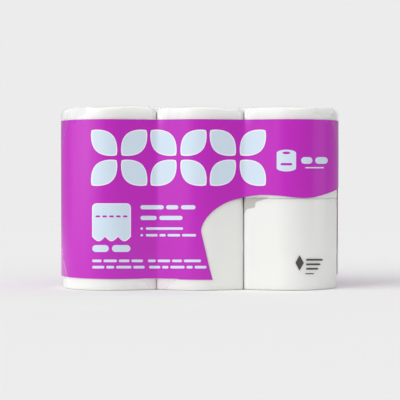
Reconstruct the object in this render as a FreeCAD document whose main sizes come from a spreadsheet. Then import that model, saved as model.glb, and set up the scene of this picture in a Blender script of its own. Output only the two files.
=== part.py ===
import FreeCAD, Part
import math
import os

import Sketcher

# Toilet paper roll pack: six rolls, three across and two high, in one folded
# sheet of clear film. Millimetres, +Z up, the front of the pack faces -Y.
# The origin is the middle of the face that the pack stands on.

# Driving sizes. Each is set by itself, and everything else follows from them.
SIZES = {
    # Rolls
    "roll_height": 101.6,
    "roll_radius": 56.0,
    "end_slope": 2.0,
    "turn_radius": 27.0,
    "turn_step": 0.5,
    # Where neighbouring rolls press each other flat
    "contact_half_width": 20.5,
    "middle_half_width": 48.7,
    # Cardboard cores
    "core_radius": 21.0,
    "core_wall": 0.6,
    "core_clearance": 0.1,
    # Film
    "film_wall": 0.35,
    "film_gap": 0.3,
    "edge_round": 2.0,
    "valley_depth": 12.0,
    "valley_round": 6.0,
    "ear_height": 38.0,
    "ear_reach": 7.0,
    "ear_crease": 12.0,
    # Folded ends and the long seal on the back
    "fold_layer": 0.35,
    "fold_length": 54.0,
    "fold_tip_width": 14.0,
    "end_lap_width": 13.0,
    "back_seal_width": 22.0,
    "back_seal_height": 30.0,
}

COLUMNS = {"left": -1, "middle": 0, "right": 1}
LEVELS = {"lower": 0, "upper": 1}

# Flat faces that stand for the film's rounded top edge
EDGE_FACETS = 1

Vector = FreeCAD.Vector


def make_sheet(doc):
    """The spreadsheet that holds the driving sizes, one alias each."""
    sheet = doc.addObject("Spreadsheet::Sheet", "Sizes")
    for row, (name, value) in enumerate(SIZES.items(), start=1):
        sheet.set("A%d" % row, name)
        sheet.set("B%d" % row, str(value))
        sheet.setAlias("B%d" % row, name)
    doc.recompute()
    return sheet


def bind(sketch, constraint, name, expression):
    """Add a dimension to a sketch and tie it to the sheet."""
    index = sketch.addConstraint(constraint)
    sketch.renameConstraint(index, name)
    sketch.setExpression("Constraints." + name, expression)


def add_sketch(body, name, height="", role="XY_Plane"):
    """A sketch on one of the body's own planes, raised by an expression if given."""
    sketch = body.newObject("Sketcher::SketchObject", name)
    plane = next(f for f in body.Origin.OriginFeatures if f.Role == role)
    sketch.AttachmentSupport = [(plane, "")]
    sketch.MapMode = "FlatFace"
    if height:
        sketch.setExpression("AttachmentOffset.Base.z", height)
    return sketch


def add_circle(sketch, radius, name, expression):
    """A circle about the origin whose radius follows the sheet."""
    circle = Part.Circle(Vector(0, 0, 0), Vector(0, 0, 1), radius)
    index = sketch.addGeometry(circle, False)
    sketch.addConstraint(Sketcher.Constraint("Coincident", index, 3, -1, 1))
    bind(sketch, Sketcher.Constraint("Radius", index, radius), name, expression)


def arc_between(centre, radius, start, end):
    """A circular arc that runs anticlockwise from one point to another."""
    circle = Part.Circle(centre, Vector(0, 0, 1), radius)
    start_angle = math.atan2(start.y - centre.y, start.x - centre.x)
    end_angle = math.atan2(end.y - centre.y, end.x - centre.x)
    return Part.ArcOfCircle(circle, start_angle, end_angle)


def close_loop(sketch, edges):
    """Join each edge's end to the next one's start."""
    for index, edge in enumerate(edges):
        following = edges[(index + 1) % len(edges)]
        sketch.addConstraint(Sketcher.Constraint("Coincident", edge, 2, following, 1))


def draw_outer_outline(sketch):
    """An end roll: round, with one flat on its -X side against its neighbour."""
    radius = SIZES["roll_radius"]
    half = SIZES["contact_half_width"]
    flat = math.sqrt(radius**2 - half**2)
    lower = Vector(-flat, -half, 0)
    upper = Vector(-flat, half, 0)
    arc = sketch.addGeometry(arc_between(Vector(0, 0, 0), radius, lower, upper), False)
    line = sketch.addGeometry(Part.LineSegment(upper, lower), False)
    close_loop(sketch, [arc, line])
    sketch.addConstraint(Sketcher.Constraint("Coincident", arc, 3, -1, 1))
    sketch.addConstraint(Sketcher.Constraint("Vertical", line))
    bind(sketch, Sketcher.Constraint("Radius", arc, radius), "roll", "Sizes.roll_radius")
    chord = Sketcher.Constraint("Distance", line, 2 * half)
    bind(sketch, chord, "contact", "2 * Sizes.contact_half_width")


def middle_arc_radius(radius, half, half_width):
    """Radius of a squeezed roll's front: it passes its crown and both contacts."""
    rise = radius - half
    return (half_width**2 + rise**2) / (2 * rise)


def draw_middle_outline(sketch):
    """The middle roll: squeezed from both sides, with a flat on each."""
    radius = SIZES["roll_radius"]
    half = SIZES["contact_half_width"]
    half_width = SIZES["middle_half_width"]
    bend = middle_arc_radius(radius, half, half_width)
    centre = Vector(0, bend - radius, 0)
    front_left = Vector(-half_width, -half, 0)
    front_right = Vector(half_width, -half, 0)
    back_right = Vector(half_width, half, 0)
    back_left = Vector(-half_width, half, 0)
    front = sketch.addGeometry(arc_between(centre, bend, front_left, front_right), False)
    right = sketch.addGeometry(Part.LineSegment(front_right, back_right), False)
    back = sketch.addGeometry(arc_between(-centre, bend, back_right, back_left), False)
    left = sketch.addGeometry(Part.LineSegment(back_left, front_left), False)
    close_loop(sketch, [front, right, back, left])
    bend_rule = (
        "(Sizes.middle_half_width ^ 2 + (Sizes.roll_radius - Sizes.contact_half_width) ^ 2)"
        " / (2 * (Sizes.roll_radius - Sizes.contact_half_width))"
    )
    bind(sketch, Sketcher.Constraint("Radius", front, bend), "front_bend", bend_rule)
    bind(sketch, Sketcher.Constraint("Radius", back, bend), "back_bend", bend_rule)
    for line, name in ((right, "right"), (left, "left")):
        sketch.addConstraint(Sketcher.Constraint("Vertical", line))
        chord = Sketcher.Constraint("Distance", line, 2 * half)
        bind(sketch, chord, name + "_contact", "2 * Sizes.contact_half_width")
    reach = Sketcher.Constraint("DistanceX", -1, 1, right, 1, half_width)
    bind(sketch, reach, "right_reach", "Sizes.middle_half_width")
    reach = Sketcher.Constraint("DistanceX", left, 1, -1, 1, half_width)
    bind(sketch, reach, "left_reach", "Sizes.middle_half_width")
    drop = Sketcher.Constraint("DistanceY", right, 1, -1, 1, half)
    bind(sketch, drop, "right_drop", "Sizes.contact_half_width")
    rise = Sketcher.Constraint("DistanceY", -1, 1, left, 1, half)
    bind(sketch, rise, "left_rise", "Sizes.contact_half_width")


def place(body, column, level):
    """Stand a body in its column and on its level of the pack."""
    shift = "(Sizes.middle_half_width + sqrt(Sizes.roll_radius ^ 2 - Sizes.contact_half_width ^ 2))"
    body.setExpression("Placement.Base.x", "%d * %s" % (column, shift))
    body.setExpression("Placement.Base.z", "Sizes.film_wall + %d * Sizes.roll_height" % level)
    if column < 0:
        body.Placement.Rotation = FreeCAD.Rotation(Vector(0, 0, 1), 180)


def add_loose_turns(body):
    """The outer turns stand a little above the inner ones at the free end."""
    ring = add_sketch(body, body.Name + "_ring", "Sizes.roll_height")
    add_circle(ring, SIZES["turn_radius"], "turns", "Sizes.turn_radius")
    step = body.newObject("PartDesign::Pocket", body.Name + "_turns")
    step.Profile = ring
    step.setExpression("Length", "Sizes.turn_step")


def ease_free_end(body):
    """Turn a slope onto the free end's rim, where the last turns have slipped back."""
    radius = SIZES["roll_radius"]
    height = SIZES["roll_height"]
    slope = SIZES["end_slope"]
    profile = add_sketch(body, body.Name + "_rim", role="XZ_Plane")
    corners = [
        (radius - 2 * slope, height + slope, "- 2 * Sizes.end_slope", "+ Sizes.end_slope"),
        (radius + slope, height - 2 * slope, "+ Sizes.end_slope", "- 2 * Sizes.end_slope"),
        (radius + slope, height + slope, "+ Sizes.end_slope", "+ Sizes.end_slope"),
    ]
    points = [Vector(x, z, 0) for x, z, _, _ in corners]
    lines = []
    for start, end in zip(points, points[1:] + points[:1]):
        lines.append(profile.addGeometry(Part.LineSegment(start, end), False))
    close_loop(profile, lines)
    for line, (x, z, out, up) in zip(lines, corners):
        name = "corner%d" % line
        reach = Sketcher.Constraint("DistanceX", -1, 1, line, 1, x)
        bind(profile, reach, name + "_reach", "Sizes.roll_radius " + out)
        rise = Sketcher.Constraint("DistanceY", -1, 1, line, 1, z)
        bind(profile, rise, name + "_rise", "Sizes.roll_height " + up)
    groove = body.newObject("PartDesign::Groove", body.Name + "_slope")
    groove.Profile = profile
    groove.ReferenceAxis = (profile, ["V_Axis"])
    groove.Angle = 360.0
    return groove


def make_roll(doc, column_name, level_name):
    """One roll of tissue, wound solid round its bore."""
    column = COLUMNS[column_name]
    level = LEVELS[level_name]
    body = doc.addObject("PartDesign::Body", "roll_%s_%s" % (level_name, column_name))
    body.Label = body.Name
    outline = add_sketch(body, body.Name + "_outline")
    if column == 0:
        draw_middle_outline(outline)
    else:
        draw_outer_outline(outline)
    bore = SIZES["core_radius"] + SIZES["core_clearance"]
    add_circle(outline, bore, "bore", "Sizes.core_radius + Sizes.core_clearance")
    wound = body.newObject("PartDesign::Pad", body.Name + "_wound")
    wound.Profile = outline
    wound.setExpression("Length", "Sizes.roll_height")
    doc.recompute()

    # Only the top of an upper roll is free: the weight presses the other ends level
    if level:
        add_loose_turns(body)
        doc.recompute()
        body.Tip = ease_free_end(body)
    place(body, column, level)
    return body


def make_core(doc, column_name, level_name):
    """One cardboard tube, as long as its roll and inside the roll's bore."""
    body = doc.addObject("PartDesign::Body", "core_%s_%s" % (level_name, column_name))
    ring = add_sketch(body, body.Name + "_ring")
    outer = SIZES["core_radius"]
    add_circle(ring, outer, "outer", "Sizes.core_radius")
    add_circle(ring, outer - SIZES["core_wall"], "inner", "Sizes.core_radius - Sizes.core_wall")
    tube = body.newObject("PartDesign::Pad", body.Name + "_tube")
    tube.Profile = ring
    tube.setExpression("Length", "Sizes.roll_height")
    body.Tip = tube
    place(body, COLUMNS[column_name], LEVELS[level_name])
    return body


def tangent_point(centre, radius, outside, side):
    """Where a line from an outside point touches a circle: side picks which of the two."""
    toward = outside - centre
    distance = toward.Length
    toward = toward.normalize()
    across = Vector(-toward.y, toward.x, 0) * side
    along = radius**2 / distance
    sideways = radius * math.sqrt(distance**2 - radius**2) / distance
    return centre + toward * along + across * sideways


class FilmSection:
    """The film's outline in plan at a given distance outside the rolls."""

    def __init__(self, sheet, offset):
        roll = sheet.get("roll_radius")
        half = sheet.get("contact_half_width")
        half_width = sheet.get("middle_half_width")
        self.round = sheet.get("valley_round")
        self.radius = roll + offset
        self.lobe = Vector(half_width + math.sqrt(roll**2 - half**2), 0, 0)
        bend = middle_arc_radius(roll, half, half_width)
        self.middle_centre = Vector(0, bend - roll, 0)
        self.middle_radius = bend + offset
        self.valley = Vector(half_width, sheet.get("valley_depth") - self.radius, 0)

    def valley_points(self, outer, inner):
        """Start, middle and end of the small round at the bottom of a valley."""
        arriving = (self.valley - outer).normalize()
        leaving = (inner - self.valley).normalize()
        turn = math.acos(max(-1.0, min(1.0, arriving.dot(leaving))))
        reach = self.round * math.tan(turn / 2)
        open_side = (leaving - arriving).normalize()
        centre = self.valley + open_side * (self.round / math.cos(turn / 2))
        return (
            self.valley - arriving * reach,
            centre - open_side * self.round,
            self.valley + leaving * reach,
        )

    def front_right(self):
        """Edges from the middle of the right end to the middle of the front."""
        side = self.lobe + Vector(self.radius, 0, 0)
        outer = tangent_point(self.lobe, self.radius, self.valley, 1)
        inner = tangent_point(self.middle_centre, self.middle_radius, self.valley, -1)
        start, bottom, end = self.valley_points(outer, inner)
        middle = self.middle_centre - Vector(0, self.middle_radius, 0)
        return [
            self.arc(side, self.lobe, outer),
            Part.makeLine(outer, start),
            Part.Arc(start, bottom, end).toShape(),
            Part.makeLine(end, inner),
            self.arc(inner, self.middle_centre, middle),
        ]

    @staticmethod
    def arc(start, centre, end):
        """An arc about a centre, through the point half way round it."""
        radius = (start - centre).Length
        halfway = centre + ((start - centre) + (end - centre)).normalize() * radius
        return Part.Arc(start, halfway, end).toShape()

    def wire(self, height):
        """The closed outline at a height, mirrored from its front right quarter."""
        quarter = Part.Wire(self.front_right())
        half = [quarter, quarter.mirror(Vector(0, 0, 0), Vector(1, 0, 0))]
        whole = half + [w.mirror(Vector(0, 0, 0), Vector(0, 1, 0)) for w in half]
        edges = [edge for wire in whole for edge in wire.Edges]
        outline = Part.Wire(Part.__sortEdges__(edges))
        outline.translate(Vector(0, 0, height))
        return outline


def edge_rounding(sheet, offset):
    """Inset and distance from the end of each facet line round a film edge."""
    edge = sheet.get("edge_round") + offset - sheet.get("film_gap")
    turns = [math.radians(90.0 * i / EDGE_FACETS) for i in range(EDGE_FACETS + 1)]
    return [(edge * (1 - math.sin(turn)), edge * (1 - math.cos(turn))) for turn in turns]


def film_hull(sheet, offset, bottom, top, base_edge=0.0):
    """A closed body at a distance outside the rolls, its top edge rounded."""
    rounding = edge_rounding(sheet, offset)
    sections = [(bottom, offset - base_edge), (bottom + base_edge, offset)]
    if base_edge == 0:
        sections = sections[:1]
    sections += [(top - rise, offset - inset) for inset, rise in reversed(rounding)]
    wires = [FilmSection(sheet, gap).wire(height) for height, gap in sections]
    return Part.makeLoft(wires, True, True)


def ear_outline(sheet, offset, height, side, face):
    """Plan of a squared top corner: two flat panels of film and the short crease between."""
    section = FilmSection(sheet, offset)
    radius = section.radius
    stand_off = sheet.get("ear_reach")
    crease = sheet.get("ear_crease") / 2
    tip = (radius + stand_off) * math.sqrt(0.5)
    far = Vector(tip + crease, tip - crease, 0)
    # The panel's line touches the round of the roll, and starts a little inside it
    spread = math.acos(radius / far.Length)
    touch_angle = math.atan2(far.y, far.x) - spread
    root = (radius - sheet.get("film_wall")) * math.cos(touch_angle)
    rise = (radius - sheet.get("film_wall")) * math.sin(touch_angle)
    inside = radius / 2
    plan = [(root, rise), (far.x, far.y), (far.y, far.x), (rise, root), (inside, inside)]
    points = [Vector(side * (section.lobe.x + x), face * y, height) for x, y in plan]
    return Part.makePolygon(points + points[:1])


def film_ear(sheet, offset, top, side, face):
    """One ear of film at a top corner: it narrows downwards to a point on the roll."""
    section = FilmSection(sheet, offset)
    foot_reach = section.radius * math.sqrt(0.5)
    foot_height = top - sheet.get("ear_height")
    foot = Vector(side * (section.lobe.x + foot_reach), face * foot_reach, foot_height)
    sections = [Part.Vertex(foot)]
    for inset, rise in reversed(edge_rounding(sheet, offset)):
        sections.append(ear_outline(sheet, offset - inset, top - rise, side, face))
    return Part.makeLoft(sections, True, True)


def eared_hull(sheet, offset, bottom, top, base_edge=0.0):
    """The film's body with an ear at each of its four top corners."""
    hull = film_hull(sheet, offset, bottom, top, base_edge)
    corners = [(side, face) for side in (-1, 1) for face in (-1, 1)]
    ears = [film_ear(sheet, offset, top, side, face) for side, face in corners]
    return hull.fuse(ears).removeSplitter()


def end_fold_prism(sheet, total_height, side):
    """The outline of one folded end: two tapered flaps and the lap between their tips."""
    edge = sheet.get("edge_round")
    depth = sheet.get("roll_radius")
    tip = sheet.get("fold_tip_width") / 2
    lap = sheet.get("end_lap_width") / 2
    length = sheet.get("fold_length")
    upper = total_height - edge
    profile = [
        (-depth, edge),
        (depth, edge),
        (tip, edge + length),
        (lap, edge + length),
        (lap, upper - length),
        (tip, upper - length),
        (depth, upper),
        (-depth, upper),
        (-tip, upper - length),
        (-lap, upper - length),
        (-lap, edge + length),
        (-tip, edge + length),
    ]
    start = FilmSection(sheet, 0).lobe.x * side
    points = [Vector(start, y, z) for y, z in profile]
    face = Part.Face(Part.makePolygon(points + points[:1]))
    return face.extrude(Vector(side * 2 * depth, 0, 0))


def add_shape(doc, name, shape):
    """A document object that holds one shape made here."""
    feature = doc.addObject("Part::Feature", name)
    feature.Shape = shape
    return feature


def make_film(doc, sheet):
    """The film: one thin sheet wound round the rolls, folded and sealed at both ends."""
    wall = sheet.get("film_wall")
    gap = sheet.get("film_gap")
    layer = sheet.get("fold_layer")
    stack = 2 * sheet.get("roll_height")
    height = stack + gap + 2 * wall
    half_length = FilmSection(sheet, 0).lobe.x
    seal = sheet.get("back_seal_width")

    outside = gap + wall
    space = add_shape(doc, "film_space", eared_hull(sheet, gap, wall, height - wall))
    skin = add_shape(doc, "film_skin", eared_hull(sheet, outside, 0, height, wall))
    layered = film_hull(sheet, outside + layer, 0, height)
    folded = add_shape(doc, "film_folded_layer", layered)
    ends = [
        add_shape(doc, "film_fold_" + name, end_fold_prism(sheet, height, side))
        for name, side in (("left", -1), ("right", 1))
    ]
    back_seal = doc.addObject("Part::Box", "film_back_seal")
    back_seal.setExpression("Height", "Sizes.back_seal_width")
    back_seal.Length = 2 * half_length
    back_seal.setExpression("Width", "2 * Sizes.roll_radius")
    back_seal.Placement.Base = Vector(-half_length, 0, sheet.get("back_seal_height") - seal / 2)
    doc.recompute()

    where_doubled = doc.addObject("Part::MultiFuse", "film_doubled_places")
    where_doubled.Shapes = ends + [back_seal]
    doubled = doc.addObject("Part::MultiCommon", "film_doubled")
    doubled.Shapes = [folded, where_doubled]
    solid = doc.addObject("Part::MultiFuse", "film_solid")
    solid.Shapes = [skin, doubled]
    film = doc.addObject("Part::Cut", "film_wrap")
    film.Label = "film_wrap"
    film.Base = solid
    film.Tool = space
    return film


def check(doc, nodes):
    """Stop unless every object computed and every node has its number of sound solids."""
    for item in doc.Objects:
        if "Invalid" in item.State or "Error" in item.State:
            raise RuntimeError("%s did not compute: %s" % (item.Name, item.State))
    for node, solids in nodes:
        shape = node.Shape
        if shape.isNull() or not shape.isValid():
            raise RuntimeError("%s has no valid shape" % node.Label)
        if len(shape.Solids) != solids:
            raise RuntimeError("%s is %d solids" % (node.Label, len(shape.Solids)))


def main():
    """Build the pack and write one file for each node."""
    doc = FreeCAD.newDocument("toilet_paper_pack")
    sheet = make_sheet(doc)
    places = [(column, level) for level in LEVELS for column in COLUMNS]
    nodes = [(make_roll(doc, column, level), 1) for column, level in places]
    cores = doc.addObject("Part::Compound", "cardboard_cores")
    cores.Label = "cardboard_cores"
    cores.Links = [make_core(doc, column, level) for column, level in places]
    nodes.append((cores, len(places)))
    nodes.append((make_film(doc, sheet), 1))
    doc.recompute()
    check(doc, nodes)
    os.makedirs("parts", exist_ok=True)
    for node, _ in nodes:
        node.Shape.exportStep("parts/%s.step" % node.Label)
        print("%s: %.1f cubic mm" % (node.Label, node.Shape.Volume))


main()
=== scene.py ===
"""Looks of a pack of six toilet paper rolls in printed film.

Lengths in the tables below are millimetres. Meshes are made in metres, in the
frame's own axes: +Z up, the front of the pack faces -Y.
"""

import logging
import math
from dataclasses import dataclass, field
from enum import Enum
from typing import Any, Callable, Dict, List, Sequence, Tuple, Union

import bpy
import numpy as np
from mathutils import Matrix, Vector, geometry, kdtree, noise


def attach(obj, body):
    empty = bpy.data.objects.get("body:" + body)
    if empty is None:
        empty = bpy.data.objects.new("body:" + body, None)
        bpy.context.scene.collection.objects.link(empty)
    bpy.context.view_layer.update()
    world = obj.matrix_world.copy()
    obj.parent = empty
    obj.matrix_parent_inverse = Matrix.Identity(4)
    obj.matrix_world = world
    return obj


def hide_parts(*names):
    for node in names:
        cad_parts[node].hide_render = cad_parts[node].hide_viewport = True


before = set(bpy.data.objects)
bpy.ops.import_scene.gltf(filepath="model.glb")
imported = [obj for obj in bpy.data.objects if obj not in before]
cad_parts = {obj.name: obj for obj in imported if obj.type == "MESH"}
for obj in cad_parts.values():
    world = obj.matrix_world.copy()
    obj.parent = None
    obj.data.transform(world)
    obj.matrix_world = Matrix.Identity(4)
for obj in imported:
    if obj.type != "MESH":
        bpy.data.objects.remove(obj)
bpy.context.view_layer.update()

logging.basicConfig(level=logging.INFO, format="%(message)s")
LOG = logging.getLogger("pack")

MM = 0.001
Point = Tuple[float, float]
Outline = List[Point]
Colour = Tuple[float, float, float]
Face = Tuple[int, int, int]
Node = bpy.types.Node
Socket = bpy.types.NodeSocket

# Where the camera stands: its height, and its distance from the pack's front
EYE_HEIGHT = 125.0
EYE_DISTANCE = 1508.0


class Slot(Enum):
    """Material slots of the record."""

    TISSUE = "tissue"
    CARD = "core_card"
    FILM = "printed_film"


class Ink(Enum):
    """What a patch of the film carries, in the order of the mesh's materials."""

    CLEAR = 0
    PURPLE = 1
    WHITE = 2
    PALE = 3
    DARK = 4
    FOLDED = 5
    # Painted pink glow in the valleys' pockets
    MILKY = 6
    # Painted shade under the window's upper edge
    SHADED = 7


@dataclass(frozen=True)
class Finish:
    """Look of one surface.

    Args:
        name: Material name.
        colour: Linear base colour.
        roughness: Mean roughness.
        bump: Height of the fine relief, in millimetres.
        grain: Size of the fine relief's features, in millimetres.
        coat: Weight of the clear gloss on top.
        metallic: One for a surface that only reflects.
        alpha: Part of the light that the surface stops.
    """

    name: str
    colour: Colour
    roughness: float
    bump: float
    grain: float
    coat: float = 0.0
    metallic: float = 0.0
    alpha: float = 1.0


def linear(red: int, green: int, blue: int) -> Colour:
    """Turn screen values into a linear colour.

    Args:
        red: Red, 0 to 255.
        green: Green, 0 to 255.
        blue: Blue, 0 to 255.

    Returns:
        The same colour in linear values.
    """
    values = []
    for value in (red, green, blue):
        share = value / 255.0
        values.append(share / 12.92 if share <= 0.04045 else ((share + 0.055) / 1.055) ** 2.4)
    return (values[0], values[1], values[2])


FILM_FINISHES: Dict[Ink, Finish] = {
    Ink.CLEAR: Finish("clear_film", (0.94, 0.95, 0.96), 0.14, 0.22, 9.0, metallic=1.0, alpha=0.08),
    Ink.PURPLE: Finish("purple_ink", linear(187, 24, 185), 0.30, 0.16, 11.0, coat=0.4),
    Ink.WHITE: Finish("white_ink", linear(238, 238, 243), 0.32, 0.16, 11.0, coat=0.35),
    Ink.PALE: Finish("pale_blue_ink", linear(206, 222, 236), 0.32, 0.16, 11.0, coat=0.35),
    Ink.FOLDED: Finish("folded_film", (0.82, 0.83, 0.84), 0.20, 0.30, 4.0, coat=0.6, alpha=0.26),
    # Painted glow: a see-through pink layer for the purple print's light bounced into the valleys'
    # pockets
    Ink.MILKY: Finish("painted_glow_film", linear(243, 221, 236), 0.25, 0.30, 4.0, coat=0.3, alpha=0.26),
    # Painted shade: a see-through grey layer that darkens the tissue under the window's upper edge
    Ink.SHADED: Finish("painted_shade_film", linear(134, 126, 121), 0.35, 0.30, 4.0, coat=0.3, alpha=0.36),
    Ink.DARK: Finish("dark_ink", linear(70, 66, 62), 0.32, 0.16, 11.0, coat=0.35),
}
TISSUE = Finish("tissue_paper", linear(238, 238, 235), 0.92, 0.10, 1.6)
CARD = Finish("core_cardboard", linear(176, 148, 116), 0.85, 0.08, 2.2)


@dataclass(frozen=True)
class Graph:
    """A node tree whose nodes are each made, set and linked in one call."""

    tree: bpy.types.NodeTree

    def add(self, kind: str, inputs: Dict[Union[str, int], Any], **settings: Any) -> Node:
        """Add a node.

        Args:
            kind: The node's type without its common start.
            inputs: For each input its value, or the socket that feeds it.
            **settings: The node's own settings.

        Returns:
            The node.
        """
        node = self.tree.nodes.new(f"ShaderNode{kind}")
        for name, value in settings.items():
            setattr(node, name, value)
        for key, value in inputs.items():
            if isinstance(value, Socket):
                self.tree.links.new(value, node.inputs[key])
            else:
                node.inputs[key].default_value = value
        return node

    def span(self, value: Socket, source: Point, result: Point) -> Socket:
        """Ease a value from one span to another.

        Args:
            value: The value.
            source: The value's span.
            result: The result's span.

        Returns:
            The result.
        """
        inputs = {"Value": value, "From Min": source[0], "From Max": source[1]}
        inputs.update({"To Min": result[0], "To Max": result[1]})
        return self.add("MapRange", inputs, interpolation_type="SMOOTHSTEP").outputs["Result"]


class Materials:
    """Makes the node materials of the pack."""

    # Distance between the ridges of the turns, in millimetres
    TURN_PITCH = 0.9

    def __init__(self) -> None:
        """Make all the materials."""
        self.film = [self.film_material(FILM_FINISHES[ink]) for ink in Ink]
        self.tissue = self.tissue_material(TISSUE)
        self.card = self.card_material(CARD)

    @staticmethod
    def blank(finish: Finish) -> Tuple[bpy.types.Material, Graph, Node]:
        """Start a material from its finish.

        Args:
            finish: The look to set on the shader.

        Returns:
            The material, its nodes and its shader.
        """
        material = bpy.data.materials.new(finish.name)
        material.use_nodes = True
        shader = material.node_tree.nodes["Principled BSDF"]
        values = {
            "Base Color": (*finish.colour, 1.0),
            "Roughness": finish.roughness,
            "Metallic": finish.metallic,
            "Coat Weight": finish.coat,
            "Coat Roughness": 0.12,
            "Specular IOR Level": 0.35,
            "Alpha": finish.alpha,
        }
        for name, value in values.items():
            shader.inputs[name].default_value = value
        return material, Graph(material.node_tree), shader

    @staticmethod
    def noise_height(graph: Graph, scale: Sequence[float], detail: float) -> Socket:
        """Noise that is stretched by its scale along each axis of the pack.

        Args:
            graph: The material's nodes.
            scale: Features per metre along X, Y and Z.
            detail: Octaves of the noise.

        Returns:
            The noise's value.
        """
        place = graph.add("TexCoord", {})
        stretch = graph.add("Mapping", {"Scale": scale, "Vector": place.outputs["Object"]})
        inputs = {"Scale": 1.0, "Detail": detail, "Vector": stretch.outputs["Vector"]}
        return graph.add("TexNoise", inputs).outputs["Fac"]

    @staticmethod
    def relief(graph: Graph, shader: Node, height: Socket, depth: float) -> None:
        """Turn a height into the shader's normal.

        Args:
            graph: The material's nodes.
            shader: The shader that gets the normal.
            height: The height's value, 0 to 1.
            depth: Depth of the relief in millimetres.
        """
        bump = graph.add("Bump", {"Distance": depth * MM, "Height": height})
        graph.tree.links.new(bump.outputs["Normal"], shader.inputs["Normal"])

    def film_material(self, finish: Finish) -> bpy.types.Material:
        """Film, clear or printed, with the fine creases of handling.

        Args:
            finish: The film's look.

        Returns:
            The material.
        """
        material, graph, shader = self.blank(finish)
        across = 1.0 / (finish.grain * MM)
        height = self.noise_height(graph, (across, across, across * 0.45), 3.0)
        self.relief(graph, shader, height, finish.bump)
        return material

    def tissue_material(self, finish: Finish) -> bpy.types.Material:
        """Soft paper: fibres on the wound side and fine turns on the ends.

        Args:
            finish: The paper's look.

        Returns:
            The material.
        """
        material, graph, shader = self.blank(finish)
        shader.inputs["Subsurface Weight"].default_value = 0.7
        shader.inputs["Subsurface Radius"].default_value = (1.0, 1.0, 1.0)
        shader.inputs["Subsurface Scale"].default_value = 0.007
        shader.inputs["Sheen Weight"].default_value = 0.15
        across = 1.0 / (finish.grain * MM)
        fibres = self.noise_height(graph, (across, across, across * 0.8), 4.0)
        turn = graph.add("Attribute", {}, attribute_name="turn").outputs["Fac"]
        inputs = {0: turn, 1: 2.0 * math.pi / self.TURN_PITCH}
        pitch = graph.add("Math", inputs, operation="MULTIPLY")
        ridge = graph.add("Math", {0: pitch.outputs["Value"]}, operation="SINE")
        inputs = {0: ridge.outputs["Value"], 1: 0.35, 2: fibres}
        sheet = graph.add("Math", inputs, operation="MULTIPLY_ADD")
        self.relief(graph, shader, sheet.outputs["Value"], finish.bump)
        return material

    def card_material(self, finish: Finish) -> bpy.types.Material:
        """Grey-brown card with fibres and the slanting joints of its strips.

        Args:
            finish: The card's look.

        Returns:
            The material.
        """
        material, graph, shader = self.blank(finish)
        across = 1.0 / (finish.grain * MM)
        fibres = self.noise_height(graph, (across, across, across), 5.0)
        tint = graph.add("ValToRGB", {"Fac": fibres})
        for element, share in zip(tint.color_ramp.elements, (0.72, 1.25)):
            element.color = (*[min(1.0, share * value) for value in finish.colour], 1.0)
        graph.tree.links.new(tint.outputs["Color"], shader.inputs["Base Color"])
        place = graph.add("TexCoord", {})
        inputs = {"Scale": 9.0, "Distortion": 0.4, "Vector": place.outputs["Object"]}
        strips = graph.add("TexWave", inputs, bands_direction="DIAGONAL")
        self.relief(graph, shader, strips.outputs["Fac"], finish.bump * 3)
        return material


@dataclass(frozen=True)
class Pack:
    """Sizes that the film and the rolls share."""

    roll_radius: float = 56.0
    roll_height: float = 101.6
    contact: float = 20.5
    middle_half: float = 48.7
    bore: float = 21.1
    film_offset: float = 0.65
    film_wall: float = 0.35
    valley_depth: float = 12.0
    valley_round: float = 6.0
    height: float = 204.2
    top_round: float = 5.0
    base_round: float = 1.3
    ear_height: float = 30.0
    ear_reach: float = 7.0
    ear_crease: float = 12.0

    @property
    def flat(self) -> float:
        """Distance from an end roll's middle to its flat."""
        return math.sqrt(self.roll_radius**2 - self.contact**2)

    @property
    def lobe(self) -> float:
        """Distance from the pack's middle to an end roll's middle."""
        return self.middle_half + self.flat

    @property
    def bend(self) -> float:
        """Radius of the middle roll's front and back."""
        rise = self.roll_radius - self.contact
        return (self.middle_half**2 + rise**2) / (2 * rise)

    @property
    def radius(self) -> float:
        """Radius of the film round an end roll."""
        return self.roll_radius + self.film_offset


PACK = Pack()


def tangent_point(centre: Vector, radius: float, outside: Vector, side: int) -> Vector:
    """Where a line from an outside point touches a circle.

    Args:
        centre: The circle's middle.
        radius: The circle's radius.
        outside: The point.
        side: Which of the two touching points.

    Returns:
        The touching point.
    """
    toward = outside - centre
    distance = toward.length
    toward = toward / distance
    across = Vector((-toward.y, toward.x)) * side
    along = radius**2 / distance
    sideways = radius * math.sqrt(distance**2 - radius**2) / distance
    return centre + toward * along + across * sideways


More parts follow.
